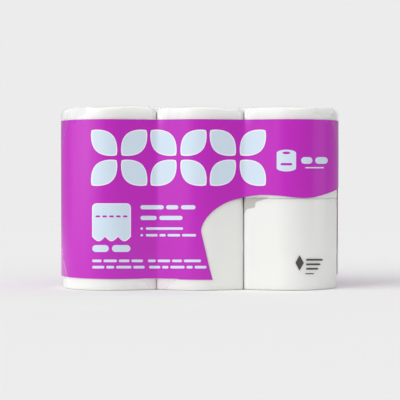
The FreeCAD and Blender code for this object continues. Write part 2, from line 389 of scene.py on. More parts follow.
class FilmPath:
    """The film's closed outline in plan, measured along the film.

    The way starts at the middle of the left end and runs by the front to the
    right end, and by the back to its start.
    """

    STEP = 0.25

    def __init__(self) -> None:
        """Lay the outline out and measure it."""
        right = np.array(self.front_right())
        ways = np.vstack([right * (-1, 1), right[::-1][1:]])
        back = (ways * (-1, -1))[1:]
        loop = np.vstack([ways, back])
        steps = np.hypot(*np.diff(loop, axis=0).T)
        self.way = np.concatenate([[0.0], np.cumsum(steps)])
        self.points = loop
        self.length = float(self.way[-1])
        tangent = np.gradient(loop, self.way, axis=0)
        tangent[0] = tangent[-1] = (tangent[0] + tangent[-1]) / 2
        tangent /= np.hypot(*tangent.T)[:, None]
        self.normals = np.stack([tangent[:, 1], -tangent[:, 0]], axis=1)

    @classmethod
    def front_right(cls) -> Outline:
        """Points from the middle of the right end to the middle of the front.

        Returns:
            The points of a quarter of the outline.
        """
        lobe = Vector((PACK.lobe, 0.0))
        middle = Vector((0.0, PACK.bend - PACK.roll_radius))
        inner_radius = PACK.bend + PACK.film_offset
        valley = Vector((PACK.middle_half, PACK.valley_depth - PACK.radius))
        outer = tangent_point(lobe, PACK.radius, valley, 1)
        inner = tangent_point(middle, inner_radius, valley, -1)
        arriving = (valley - outer).normalized()
        leaving = (inner - valley).normalized()
        turn = arriving.angle(leaving)
        reach = PACK.valley_round * math.tan(turn / 2)
        open_side = (leaving - arriving).normalized()
        centre = valley + open_side * (PACK.valley_round / math.cos(turn / 2))
        points = cls.arc(lobe, PACK.radius, lobe + Vector((1, 0)), outer)
        start, end = valley - arriving * reach, valley + leaving * reach
        points += cls.arc(centre, PACK.valley_round, start, end)
        points += cls.arc(middle, inner_radius, inner, middle - Vector((0, 1)))
        return points

    @classmethod
    def arc(cls, centre: Vector, radius: float, start: Vector, end: Vector) -> Outline:
        """Points of an arc, the shorter way from one direction to another.

        Args:
            centre: The arc's middle.
            radius: The arc's radius.
            start: A point in the direction of the arc's start.
            end: A point in the direction of the arc's end.

        Returns:
            The points, both ends among them.
        """
        first = math.atan2(start.y - centre.y, start.x - centre.x)
        last = math.atan2(end.y - centre.y, end.x - centre.x)
        sweep = (last - first + math.pi) % (2 * math.pi) - math.pi
        count = max(2, int(abs(sweep) * radius / cls.STEP))
        turns = [first + sweep * i / count for i in range(count + 1)]
        return [(centre.x + radius * math.cos(t), centre.y + radius * math.sin(t)) for t in turns]

    def at(self, way: np.ndarray) -> Tuple[np.ndarray, np.ndarray]:
        """Places and outward directions along the film.

        Args:
            way: Distances along the film.

        Returns:
            Plan points, and unit normals.
        """
        way = np.where(way > self.length + 1e-6, way - self.length, way)
        place = np.stack([np.interp(way, self.way, self.points[:, i]) for i in (0, 1)], axis=1)
        normal = np.stack([np.interp(way, self.way, self.normals[:, i]) for i in (0, 1)], axis=1)
        normal /= np.hypot(*normal.T)[:, None]
        return place, normal

    def seen_at(self, across: float, up: float) -> Point:
        """Film coordinates of a point that is seen at a place of the front plane.

        Args:
            across: Distance from the middle, measured on the plane of the pack's front.
            up: Height, measured on the same plane.

        Returns:
            Distance along the film, and height.
        """
        low, high = 0.0, self.length / 2
        for _ in range(40):
            half = (low + high) / 2
            place, _ = self.at(np.array([half]))
            depth = EYE_DISTANCE + place[0][1] + PACK.radius
            if place[0][0] * EYE_DISTANCE / depth < across:
                low = half
            else:
                high = half
        place, _ = self.at(np.array([low]))
        depth = EYE_DISTANCE + place[0][1] + PACK.radius
        return low, EYE_HEIGHT + (up - EYE_HEIGHT) * depth / EYE_DISTANCE


def smooth(value: np.ndarray) -> np.ndarray:
    """Ease a share from 0 to 1.

    Args:
        value: The share, cut to 0 and 1 outside.

    Returns:
        The eased share.
    """
    value = np.clip(value, 0.0, 1.0)
    return value * value * (3.0 - 2.0 * value)


def ripple(points: np.ndarray, seed: float) -> np.ndarray:
    """Smooth noise at each point, about -1 to 1.

    Args:
        points: Points, already scaled to the noise.
        seed: Picks another field.

    Returns:
        One value for each point.
    """
    shift = np.full(len(points), seed)
    spots = np.column_stack([points, shift]) if points.shape[1] == 2 else points + shift[:, None]
    return np.array([noise.noise(Vector(spot)) for spot in spots])


class FilmForm:
    """Places points of the flat film round the pack.

    The flat film is measured by the distance along it and by the way up, which
    goes on round the edges to the rims of the top and the bottom.
    """

    # How far the folded layers stand off the left and the right end's middle
    LOOSE = (1.9, 1.2)
    # Puffs and dips of the top: place, reach both ways, and height; alike at front and back
    SWELLS = (
        (-78.0, 44.0, 24.0, 20.0, 1.9),
        (-120.0, 30.0, 20.0, 30.0, 0.6),
        (-52.0, 50.0, 4.0, 9.0, 1.5),
        (-44.0, 50.0, 3.0, 9.0, -1.6),
        (-36.0, 50.0, 4.0, 9.0, 1.1),
        (4.0, 48.0, 22.0, 18.0, 0.7),
        (37.0, 50.0, 9.0, 12.0, -1.6),
        (50.0, 50.0, 3.0, 10.0, -1.0),
        (88.0, 44.0, 26.0, 20.0, 0.8),
        (143.0, 34.0, 9.0, 12.0, -0.6),
    )

    def __init__(self) -> None:
        """Lay out the film's path and its rims."""
        self.path = FilmPath()
        self.low = PACK.base_round * (1 - math.pi / 2)
        self.high = PACK.height - PACK.top_round * (1 - math.pi / 2)

    def ear_radius(self, angle: np.ndarray, share: np.ndarray) -> np.ndarray:
        """Distance of the film from an end roll's middle where a squared corner stands off.

        Args:
            angle: Direction from the end's middle towards the front or back.
            share: How far up the corner, from its foot at 0 to 1.

        Returns:
            The distance, at least the film's radius.
        """
        radius = PACK.radius
        corner = math.radians(45)
        tip = (radius + PACK.ear_reach) * math.sqrt(0.5)
        far = Vector((tip + PACK.ear_crease / 2, tip - PACK.ear_crease / 2))
        touch = math.atan2(far.y, far.x) - math.acos(radius / far.length)
        start = radius * math.cos(corner - touch)
        panel = start + share * (radius - start)
        reach = radius + share * PACK.ear_reach
        sides = [
            panel / np.maximum(np.cos(angle - touch), 0.1),
            reach / np.maximum(np.cos(angle - corner), 0.1),
            panel / np.maximum(np.cos(angle - (2 * corner - touch)), 0.1),
        ]
        squared = (share > 0) & (np.abs(angle - corner) < corner - touch)
        return np.where(squared, np.maximum(radius, np.minimum.reduce(sides)), radius)

    def swell(self, way: np.ndarray, up: np.ndarray) -> np.ndarray:
        """How far the film stands out from its plan because of puffs and creases.

        Args:
            way: Distance along the film.
            up: Way up.

        Returns:
            Distances, outwards positive.
        """
        # Broad puffs, and fine creases that grow near the top and the foot
        turn = 2 * math.pi * way / self.path.length
        ring = self.path.length / (2 * math.pi)
        around = np.column_stack([np.cos(turn), np.sin(turn)]) * ring
        broad = ripple(around / 46.0 + (up / 90.0)[:, None], 1.7)
        fine = ripple(np.column_stack([around / 7.0, up / 26.0]), 4.2)
        edge = smooth((up - 176.0) / 26.0) + smooth((16.0 - up) / 16.0)
        out = 0.28 * broad + 0.22 * (0.35 + edge) * fine
        # Over each valley the film draws in towards the top, and gathers fan out below it
        place, _ = self.path.at(way)
        top, crest = smooth((up - 168.0) / 34.0), smooth((up - 189.0) / 14.0)
        for side in (-1, 1):
            gap = place[:, 0] - side * PACK.middle_half
            out -= 1.3 * top * np.exp(-((gap / 7.0) ** 2))
            fan = gap / (0.45 + 0.55 * crest)
            out += 0.75 * crest * np.cos(1.3 * fan + 0.6 * side) * np.exp(-((fan / 9.5) ** 2))
        # The folded layers stand off the middle of each end
        loose = np.where(place[:, 0] < 0, *self.LOOSE) * (np.abs(place[:, 0]) > PACK.lobe)
        out += loose * np.exp(-((place[:, 1] / 24.0) ** 2))
        # The rolls let the film sink in further only at the valleys
        from_valley = np.abs(place[:, 0]) - PACK.middle_half
        return np.maximum(out, -0.35 - 3.4 * np.exp(-((from_valley / 13.0) ** 2)))

    def wall(self, way: np.ndarray, up: np.ndarray, stand_off: float = 0.0) -> np.ndarray:
        """Points of the film's sides and of its rounded edges.

        Args:
            way: Distance along the film.
            up: Way up.
            stand_off: Extra distance outwards, for another layer.

        Returns:
            Points in millimetres.
        """
        place, normal = self.path.at(way)
        top_start = PACK.height - PACK.top_round
        over = np.clip((up - top_start) / PACK.top_round, 0.0, math.pi / 2)
        under = np.clip((PACK.base_round - up) / PACK.base_round, 0.0, math.pi / 2)
        inset = PACK.top_round * (1 - np.cos(over)) + PACK.base_round * (1 - np.cos(under))
        height = np.clip(up, PACK.base_round, top_start)
        height = height + (PACK.top_round + stand_off) * np.sin(over)
        height = height - (PACK.base_round + stand_off) * np.sin(under)
        swelling = self.swell(way, up) * np.cos(over) * np.cos(under) + stand_off
        share = (height - (PACK.height - PACK.ear_height)) / PACK.ear_height
        beyond = np.abs(place[:, 0]) - PACK.lobe
        angle = np.arctan2(np.abs(place[:, 1]), beyond)
        ear = self.ear_radius(angle, np.clip(share, 0.0, 1.0) ** 3) - PACK.radius
        ear = np.where(beyond > 0, ear, 0.0)
        plan = place + normal * (ear + swelling - inset)[:, None]
        height = height + self.crown(plan) * smooth((up - top_start + 6.0) / 10.0)
        return np.column_stack([plan, height])

    def crown(self, plan: np.ndarray) -> np.ndarray:
        """Rise of the film's top edge and top over its plan, where it puffs up or dips.

        Args:
            plan: Points of the plan.

        Returns:
            Heights above the even top.
        """
        x, y = plan[:, 0], np.abs(plan[:, 1])
        rise = 0.35 * ripple(np.column_stack([x / 17.0, plan[:, 1] / 40.0]), 5.5)
        for at_x, at_y, wide, deep, height in self.SWELLS:
            rise += height * np.exp(-(((x - at_x) / wide) ** 2) - ((y - at_y) / deep) ** 2)
        return rise

    def cap_height(self, plan: np.ndarray, rim: kdtree.KDTree, top: bool) -> np.ndarray:
        """Height of the top or the bottom over points of its plan.

        Args:
            plan: Points of the plan.
            rim: The cap's rim.
            top: Whether this is the top.

        Returns:
            Heights.
        """
        if not top:
            return np.zeros(len(plan))
        inward = np.array([rim.find((x, y, 0.0))[2] for x, y in plan])
        # The film sags past the rolls' rims and over their bores
        rolls = np.column_stack([plan[:, 0] - side * PACK.lobe for side in (-1, 0, 1)])
        reach = np.hypot(rolls, plan[:, 1:2]).min(axis=1)
        sag = -1.2 * smooth((reach - 50.0) / 12.0)
        hole = -0.9 * (1 - smooth((reach - 12.0) / 12.0))
        broad = ripple(plan / 34.0, 7.1)
        fine = ripple(np.column_stack([plan[:, 0] / 8.0, plan[:, 1] / 30.0]), 2.9)
        uneven = sag + hole + 0.7 * broad + 0.35 * fine
        return PACK.height + self.crown(plan) + smooth(inward / 14.0) * uneven


class Print:
    """The film's print as outlines on the flat film."""

    BAND_TOP = 190.1
    BAND_BASE = 13.7
    WAVE: Outline = [
        (14.1, 12.1), (10.2, 27.0), (5.5, 47.4), (2.7, 59.2), (1.3, 66.9), (3.9, 75.3),
        (9.9, 83.8), (18.3, 91.3), (31.0, 98.5), (47.9, 103.6), (63.5, 106.0), (72.7, 106.2),
        (88.3, 105.3), (100.2, 103.9), (112.9, 102.9), (125.4, 103.5), (138.2, 107.0),
        (147.6, 110.6), (153.2, 115.7),
    ]  # fmt: skip
    # The window's edge on the right end, measured from the end's middle
    WINDOW_END: Outline = [(-3.1, 117.3), (0.9, 116.0), (3.4, 110.5), (4.0, 100.0)]
    # White edge of the large shapes
    EDGE = 0.9
    # Sprays of leaves: their middles, their height, and a leaf's near tip, far tip and half width
    SPRAYS = (-89.5, -23.8, 41.9)
    SPRAY_UP = 147.4
    LEAF = (4.0, 43.0, 12.6)
    # Bars in place of text: their height, their thickness, and where each begins and ends
    BARS = (
        (92.6, 4.6, ((-66, -40), (-37.5, -24), (-21, -5))),
        (80.8, 4.6, ((-66, -48), (-45, -19.3))),
        (69.0, 2.7, ((-65.9, -63.2), (-60, -18.8))),
        (61.6, 2.7, ((-65.9, -63.2), (-60, -47), (-45, -38), (-36, -22), (-20, -4.4))),
        (46.9, 7.6, ((-119.4, -101), (-97.6, -77))),
        (33.2, 2.9, ((-119.5, -109), (-107, -92), (-90, -78), (-76, -63.1))),
        (33.2, 2.9, ((-57.6, -49), (-47, -33), (-31, -20), (-18, 1.1))),
        (26.2, 2.9, ((-119.5, -106), (-104, -95), (-93, -76), (-74, -61.3))),
        (26.2, 2.9, ((-56.5, -44), (-42, -35), (-33, -17), (-15, -8), (-6, 7.2))),
        (144.4, 7.4, ((111.8, 124.5), (127.5, 141.5))),
        (136.4, 1.3, ((116.5, 137),)),
    )
    # Pleats over a valley: their foot from it, their foot over the band, their head, their width
    PLEATS = (
        (-3.0, 7.0, -9.5, 1.6),
        (-0.6, 0.0, -1.8, 1.2),
        (2.0, 8.0, 5.0, 1.3),
        (3.4, 6.0, 11.0, 1.5),
    )
    # A painted pink glow in the pocket at a valley's foot, for the purple print's light bounced in
    # there, measured from the valley
    GLOW_POCKET: Outline = [
        (-9.0, 1.6), (12.0, 1.6), (14.0, 5.0), (18.0, 9.0), (26.0, 12.9), (-18.0, 12.9),
        (-13.0, 9.0), (-10.5, 5.0),
    ]  # fmt: skip
    # Painted shade: a grey patch for the shadow under the window's upper edge, as seen from the
    # front
    PAINTED_SHADE_OUTLINE: Outline = [
        (48.4, 84.0), (51.6, 90.6), (60.6, 92.4), (61.6, 98.2), (77.0, 103.6), (62.0, 104.2),
        (48.6, 102.2),
    ]  # fmt: skip

    def __init__(self, path: FilmPath) -> None:
        """Draw the print.

        Args:
            path: The film's path, which the shapes are placed on.
        """
        self.path = path
        self.valleys: List[float] = []
        self.regions: List[Tuple[Ink, Outline]] = [(Ink.PURPLE, dense(self.band(), 2.0))]
        self.gathers()
        self.leaves()
        self.sheet_mark()
        self.words()
        self.small_marks()

    def band(self) -> Outline:
        """The coloured band, which leaves a clear window on the front's lower right.

        Returns:
            The band's outline.
        """
        end = self.path.length / 2
        rough = [self.path.seen_at(x, z) for x, z in self.WAVE]
        rough += [(end + way, up) for way, up in self.WINDOW_END]
        base = [(0.0, self.BAND_BASE)]
        after = [(end + self.WINDOW_END[-1][0], self.BAND_BASE), (2 * end, self.BAND_BASE)]
        after += [(2 * end, self.BAND_TOP), (0.0, self.BAND_TOP)]
        return base + spline(rough, 6) + after

    def add(self, ink: Ink, shape: Outline, across: float, up: float) -> None:
        """Put a shape on the front, and on the back the same one unless it is dark.

        Args:
            ink: What the shape is printed with.
            shape: The shape round its own middle.
            across: Where its middle is seen, from the pack's middle.
            up: Where its middle is seen, from the floor.
        """
        outline = dense([self.path.seen_at(across + x, up + z) for x, z in shape], 2.2)
        self.regions.append((ink, outline))
        if ink is not Ink.DARK:
            half = self.path.length / 2
            self.regions.append((ink, [(way + half, height) for way, height in outline]))

    def lay_patch(self, ink: Ink, outline: Outline, spacing: float) -> None:
        """Lay a patch of folded film, or a patch of painted glow or painted shade.

        Args:
            ink: Its kind.
            outline: Its outline on the flat film.
            spacing: Greatest distance between the points of its border.
        """
        self.regions.append((ink, dense(outline, spacing)))

    def gathers(self) -> None:
        """Film that lies double: pleats on the valleys and ears on the corners, with a painted pink
        glow in the pockets at the valleys' feet and painted shade under the window's upper edge.
        """
        quarter = self.path.length / 4
        high = PACK.height - PACK.top_round * (1 - math.pi / 2) - 0.4
        low = self.BAND_TOP
        for middle, side in ((way, side) for way in (quarter, 3 * quarter) for side in (-1, 1)):
            valley = self.valley_way(middle, side)
            self.valleys.append(valley)
            for foot, start, head, wide in self.PLEATS:
                corners = [(foot, low + start), (foot + wide / 2, low + start)]
                corners += [(head + wide, high), (head, high)]
                self.lay_patch(Ink.FOLDED, [(valley + x, up) for x, up in corners], 1.2)
            if (middle, side) != (quarter, 1):
                # Painted pink glow of the purple print's bounced light at the valley's foot
                self.lay_patch(Ink.MILKY, [(valley + x, up) for x, up in self.GLOW_POCKET], 1.5)
        # Painted shade: a grey patch for the shadow under the window's upper edge
        self.lay_patch(Ink.SHADED, [self.path.seen_at(x, z) for x, z in self.PAINTED_SHADE_OUTLINE], 1.5)
        ear = [(64.0, 197.0), (60.0, high), (27.0, high), (25.0, low + 0.3), (44.0, low + 0.3)]
        for end, side in ((end, side) for end in (0, 2, 4) for side in (-1, 1)):
            spots = [(end * quarter + side * x, up) for x, up in ear[::side]]
            if all(0 < way < 4 * quarter for way, _ in spots):
                self.lay_patch(Ink.FOLDED, spots, 1.8)

    def valley_way(self, middle: float, side: int) -> float:
        """Distance along the film to the bottom of a valley.

        Args:
            middle: The distance to the middle of the front or the back.
            side: Which of the two valleys there.

        Returns:
            The distance.
        """
        ways = middle + side * np.linspace(0.0, 90.0, 400)
        place, _ = self.path.at(ways)
        return float(ways[np.argmin(np.abs(np.abs(place[:, 0]) - PACK.middle_half))])

    def leaves(self) -> None:
        """Three large sprays of four pointed leaves, each with a thin white edge."""
        edge = self.EDGE
        near, far, half = self.LEAF
        for across in self.SPRAYS:
            for turn in (45.0, 135.0, 225.0, 315.0):
                self.add(Ink.WHITE, leaf(near, far, half, turn), across, self.SPRAY_UP)
                inner = leaf(near + 2 * edge, far - 2 * edge, half - edge, turn)
                self.add(Ink.PALE, inner, across, self.SPRAY_UP)

    def sheet_mark(self) -> None:
        """A square sheet with a scalloped foot and a row of holes across it."""
        across, up = -98.0, 76.0
        self.add(Ink.WHITE, scalloped(43.0, 42.0, 0.0), across, up)
        self.add(Ink.PALE, scalloped(43.0, 42.0, self.EDGE), across, up)
        for index in range(5):
            self.add(Ink.PURPLE, pill(5.2, 2.2), across - 15.2 + 7.6 * index, up + 6.5)

    def words(self) -> None:
        """Plain bars where a pack has its lines of text."""
        for up, thick, spans in self.BARS:
            for left, right in spans:
                self.add(Ink.PALE, pill(right - left, thick), (left + right) / 2, up)

    def small_marks(self) -> None:
        """A small roll on the band, and a small dark mark on the clear window."""
        across, up = 95.6, 144.3
        self.add(Ink.PALE, barrel(21.4, 24.0, 3.6), across, up)
        self.add(Ink.PURPLE, bow((0.0, 0.0), (4.4, 1.5), range(0, 360, 18)), across, up + 8.5)
        self.add(Ink.PURPLE, pill(13.0, 2.6), across, up - 4.0)
        self.add(Ink.DARK, [(0.0, -8.6), (4.6, 0.0), (0.0, 8.6), (-4.6, 0.0)], 110.3, 31.0)
        for height, right in ((34.4, 136.0), (29.4, 133.5), (24.4, 131.0)):
            self.add(Ink.DARK, pill(right - 117.5, 2.0), (117.5 + right) / 2, height)
        self.add(Ink.DARK, pill(9.5, 1.1), 121.5, 19.0)


def dense(outline: Outline, spacing: float) -> Outline:
    """Add points along an outline's sides.

    Args:
        outline: The outline.
        spacing: Greatest distance between its points.

    Returns:
        The same outline with more points.
    """
    line: Outline = []
    for (ax, ay), (bx, by) in zip(outline, outline[1:] + outline[:1]):
        parts = max(1, math.ceil(math.hypot(bx - ax, by - ay) / spacing))
        line += [(ax + (bx - ax) * i / parts, ay + (by - ay) * i / parts) for i in range(parts)]
    return line


def spline(points: Outline, cuts: int) -> Outline:
    """A smooth line through points.

    Args:
        points: The points.
        cuts: Pieces between each two.

    Returns:
        The points of the smooth line.
    """
    padded = [points[0], *points, points[-1]]
    line: Outline = []
    for a, b, c, d in zip(padded, padded[1:], padded[2:], padded[3:]):
        for step in range(cuts):
            t = step / cuts
            line.append(tuple(
                0.5 * (2 * q + (r - p) * t + (2 * p - 5 * q + 4 * r - s) * t * t
                       + (3 * q - p - 3 * r + s) * t**3)
                for p, q, r, s in zip(a, b, c, d)
            ))  # fmt: skip
    line.append(points[-1])
    return line


def bow(centre: Point, radii: Point, turns: Sequence[float]) -> Outline:
    """Points of an ellipse.

    Args:
        centre: The ellipse's middle.
        radii: Half its width and half its height.
        turns: The points' directions in degrees.

    Returns:
        The points.
    """
    ways = [math.radians(turn) for turn in turns]
    return [(centre[0] + radii[0] * math.cos(t), centre[1] + radii[1] * math.sin(t)) for t in ways]


def leaf(start: float, end: float, half_width: float, turn: float) -> Outline:
    """A pointed leaf that lies on a ray from the middle.

    Args:
        start: Distance of its near tip from the middle.
        end: Distance of its far tip.
        half_width: Half its greatest width.
        turn: Direction of the ray in degrees.

    Returns:
        Its outline.
    """
    length = end - start
    outline: Outline = []
    for side in (1, -1):
        for step in range(24):
            share = step / 24 if side > 0 else 1 - step / 24
            bulge = half_width * math.sin(math.pi * share) ** 0.8
            outline.append((start + length * share, -side * bulge))
    ray = math.radians(turn)
    return [
        (x * math.cos(ray) - y * math.sin(ray), x * math.sin(ray) + y * math.cos(ray))
        for x, y in outline
    ]


def pill(width: float, height: float) -> Outline:
    """A level bar with round ends.

    Args:
        width: Its width.
        height: Its height.

    Returns:
        Its outline.
    """
    end = min(width, height) / 2
    outline: Outline = []
    for side, first in ((1, -90.0), (-1, 90.0)):
        turns = [first + 30.0 * step for step in range(7)]
        outline += bow((side * (width / 2 - end), 0.0), (end, end), turns)
        if width / 2 - end > 2.0:
            run = width - 2 * end
            parts = int(run / 4.0)
            for part in range(1, parts):
                x = side * (width / 2 - end - run * part / parts)
                outline.append((x, side * end))
    return outline


def barrel(width: float, height: float, bulge: float) -> Outline:
    """A roll that stands upright, seen from the side.

    Args:
        width: Its width.
        height: Its whole height.
        bulge: Rise of its round top and foot.

    Returns:
        Its outline.
    """
    straight = height / 2 - bulge
    outline: Outline = []
    for side in (1, -1):
        outline += bow((0.0, side * straight), (side * width / 2, side * bulge), range(0, 181, 15))
    return outline


def scalloped(width: float, height: float, inset: float) -> Outline:
    """A square with round upper corners and a foot of three scallops.

    Args:
        width: Its width.
        height: Its height.
        inset: How far the outline is drawn in.

    Returns:
        Its outline.
    """
    half, corner = width / 2 - inset, 5.0 - inset
    top, foot = height / 2 - inset, -height / 2 + 5.0 + inset
    outline: Outline = []
    for step in range(37):
        share = step / 36
        x = -half + 2 * half * share
        outline.append((x, foot - 5.0 * abs(math.sin(3 * math.pi * share))))
    for side, first in ((1, 0.0), (-1, 90.0)):
        turns = [first + 15.0 * step for step in range(7)]
        outline += bow((side * (half - corner), top - corner), (corner, corner), turns)
    return outline


def plan_tree(points: Sequence[Sequence[float]]) -> kdtree.KDTree:
    """A tree that finds the nearest of some points in plan.

    Args:
        points: The points.

    Returns:
        The tree.
    """
    tree = kdtree.KDTree(len(points))
    for index, point in enumerate(points):
        tree.insert((point[0], point[1], 0.0), index)
    tree.balance()
    return tree


def triangulate(
    outline: Outline, regions: List[Tuple[Ink, Outline]], grid: Outline
) -> Tuple[np.ndarray, List[Face], List[Ink]]:
    """Fill an outline with triangles that follow the regions' edges.

    Args:
        outline: The whole area.
        regions: Shapes on it, a later one over an earlier one.
        grid: Points that the triangles also use.

    Returns:
        The points, the triangles, and the ink of each triangle.
    """
    points: List[Vector] = []
    faces: List[List[int]] = []
    for shape in [outline, *[shape for _, shape in regions]]:
        faces.append(list(range(len(points), len(points) + len(shape))))
        points += [Vector(point) for point in shape]
    near = plan_tree(points)
    for x, y in grid:
        if near.find((x, y, 0.0))[2] > 0.7:
            points.append(Vector((x, y)))
    verts, _, triangles, _, _, origins = geometry.delaunay_2d_cdt(points, [], faces, 0, 1e-5)
    inks = [Ink.CLEAR, *[ink for ink, _ in regions]]
    inside = [(triangle, origin) for triangle, origin in zip(triangles, origins) if 0 in origin]
    used = sorted({index for triangle, _ in inside for index in triangle})
    renamed = {index: place for place, index in enumerate(used)}
    kept = [tuple(renamed[index] for index in triangle) for triangle, _ in inside]
    kinds = [inks[max(origin)] for _, origin in inside]
    return np.array([(verts[index].x, verts[index].y) for index in used]), kept, kinds


class Skin:
    """Collects the film's patches into one mesh."""

    def __init__(self) -> None:
        """Start with no patch."""
        self.points: List[np.ndarray] = []
        self.faces: List[Face] = []
        self.inks: List[int] = []
        self.count = 0

    def add(self, points: np.ndarray, faces: Sequence[Face], inks: Sequence[Ink]) -> None:
        """Add a patch.

        Args:
            points: Its points in millimetres.
            faces: Its triangles.
            inks: The ink of each triangle.
        """
        self.points.append(points)
        self.faces += [tuple(index + self.count for index in face) for face in faces]
        self.inks += [ink.value for ink in inks]
        self.count += len(points)

    def build(self, name: str, materials: Sequence[bpy.types.Material]) -> bpy.types.Object:
        """Make the object, with the patches' shared borders joined.

        Args:
            name: The object's name.
            materials: One material for each ink.

        Returns:
            The object.
        """
        mesh = bpy.data.meshes.new(name)
        mesh.from_pydata((np.vstack(self.points) * MM).tolist(), [], self.faces)
        for material in materials:
            mesh.materials.append(material)
        mesh.polygons.foreach_set("material_index", self.inks)
        mesh.polygons.foreach_set("use_smooth", [True] * len(mesh.polygons))
        item = bpy.data.objects.new(name, mesh)
        bpy.context.scene.collection.objects.link(item)
        activate(item)
        bpy.ops.object.mode_set(mode="EDIT")
        bpy.ops.mesh.select_all(action="SELECT")
        bpy.ops.mesh.remove_doubles(threshold=0.00001)
        bpy.ops.object.mode_set(mode="OBJECT")
        return item


def activate(item: bpy.types.Object) -> None:
    """Select one object alone and make it active.

    Args:
        item: The object.
    """
    bpy.ops.object.select_all(action="DESELECT")
    item.select_set(True)
    bpy.context.view_layer.objects.active = item


@dataclass
class FilmWrap:
    """The film: the printed sheet, its folded ends and the long seal on its back."""

    materials: Materials
    form: FilmForm = field(default_factory=FilmForm)
    spacing: float = 2.4
    flap_half: float = 38.0
    fold_length: float = 54.0
    tip: float = 7.0
    seal_height: float = 30.0
    seal_half: float = 11.0
    fine_half: float = 17.0
    fine_from: float = 187.0

    def columns(self) -> np.ndarray:
        """Distances along the film where the mesh has its columns.

        Returns:
            The distances, both ends of the film among them.
        """
        return np.linspace(0.0, self.form.path.length, int(self.form.path.length / self.spacing))

    def rows(self) -> np.ndarray:
        """Ways up where the mesh has its rows.

        Returns:
            The ways up, both rims among them.
        """
        low, high = self.form.low, self.form.high
        foot = np.linspace(low, PACK.base_round, 5)
        middle = np.linspace(PACK.base_round, 180.0, 74)[1:]
        head = np.linspace(180.0, high, 24)[1:]
        return np.concatenate([foot, middle, head])

    def add_sides(self, skin: Skin, prints: Print) -> None:
        """Add the sheet round the pack, with a finer mesh where it is gathered.

        Args:
            skin: The mesh in the making.
            prints: The print.
        """
        columns, rows = self.columns(), self.rows()
        low, high, end = rows[0], rows[-1], columns[-1]
        outline = [(x, low) for x in columns] + [(end, y) for y in rows[1:-1]]
        outline += [(x, high) for x in columns[::-1]] + [(0.0, y) for y in rows[-2:0:-1]]
        half, foot = self.fine_half, self.fine_from
        fine = [
            (valley + across, up)
            for valley in prints.valleys
            for across in np.arange(-half, half + 0.1, 0.85)
            for up in np.arange(foot, high - 0.5, 0.95)
        ]
        coarse = [
            (x, y)
            for x in columns[1:-1]
            for y in rows[1:-1]
            if y < foot - 0.5 or min(abs(x - valley) for valley in prints.valleys) > half + 0.5
        ]
        flat, faces, inks = triangulate(outline, prints.regions, fine + coarse)
        skin.add(self.form.wall(flat[:, 0], flat[:, 1]), faces, inks)

    def add_cap(self, skin: Skin, top: bool) -> None:
        """Add the top or the bottom inside the rim of the sides.

        Args:
            skin: The mesh in the making.
            top: Whether to make the top.
        """
        columns = self.columns()[:-1]
        up = np.full(len(columns), self.form.high if top else self.form.low)
        rim = self.form.wall(columns, up)
        tree = plan_tree(rim)
        step = 3.0 if top else 8.0
        xs = np.arange(-165.0, 165.0, step)
        ys = np.arange(-65.0, 65.0, step)
        grid = [(x, y) for x in xs for y in ys if tree.find((x, y, 0.0))[2] > step / 2]
        outline = [(x, y) for x, y, _ in rim]
        flat, faces, inks = triangulate(outline, [], grid)
        height = self.form.cap_height(flat, tree, top)
        points = np.column_stack([flat, height])
        for index, (x, y) in enumerate(flat):
            _, nearest, distance = tree.find((x, y, 0.0))
            if distance < 0.001:
                points[index, 2] = rim[nearest][2]
        if not top:
            faces = [face[::-1] for face in faces]
        skin.add(points, faces, inks)

    def add_layer(self, skin: Skin, outline: Outline, lift: float) -> None:
        """Add a second layer of film over the sides.

        Args:
            skin: The mesh in the making.
            outline: The layer's outline on the flat film.
            lift: Its distance from the layer below.
        """
        border = dense(outline, 1.6)
        xs, ys = [p[0] for p in outline], [p[1] for p in outline]
        grid = [
            (x, y)
            for x in np.arange(min(xs), max(xs), self.spacing)
            for y in np.arange(min(ys), max(ys), self.spacing)
        ]
        flat, faces, inks = triangulate(border, [], grid)
        skin.add(self.form.wall(flat[:, 0], flat[:, 1], lift), faces, inks)
        ways, ups = np.array(border).T
        upper = self.form.wall(ways, ups, lift)
        lower = self.form.wall(ways, ups, 0.02)
        count = len(border)
        quads: List[Face] = []
        for index in range(count):
            after = (index + 1) % count
            quads += [(index, index + count, after + count), (index, after + count, after)]
        skin.add(np.vstack([upper, lower]), quads, [Ink.CLEAR] * len(quads))

    def build(self) -> bpy.types.Object:
        """Make the film.

        Returns:
            The film's object.
        """
        path = self.form.path
        prints = Print(path)
        skin = Skin()
        self.add_sides(skin, prints)
        LOG.info("film sides: %d triangles", len(skin.faces))
        self.add_cap(skin, True)
        self.add_cap(skin, False)
        for middle in (path.length / 2, path.length):
            self.add_end(skin, middle)
        back = path.length * 0.75
        reach = PACK.lobe
        low, high = self.seal_height - self.seal_half, self.seal_height + self.seal_half
        strip = [(back - reach, low), (back + reach, low)]
        strip += [(back + reach, high), (back - reach, high)]
        self.add_layer(skin, strip, 0.45)
        item = skin.build("film", self.materials.film)
        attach(item, "root")
        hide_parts("film_wrap")
        LOG.info("film: %d triangles", len(item.data.polygons))
        return item

    def add_end(self, skin: Skin, middle: float) -> None:
        """Add the two tapered flaps of an end.

        Args:
            skin: The mesh in the making.
            middle: The end's middle on the flat film.
        """
        wide, tip = self.flap_half, self.tip
        low, high = 3.0, PACK.height - 5.5
        near, far = low + self.fold_length, high - self.fold_length
        lower = [(-wide, low), (wide, low), (tip, near), (-tip, near)]
        upper = [(-tip, far), (tip, far), (wide, high), (-wide, high)]
        for flap in (lower, upper):
            self.add_layer(skin, [(middle + x, z) for x, z in flap], 0.3)


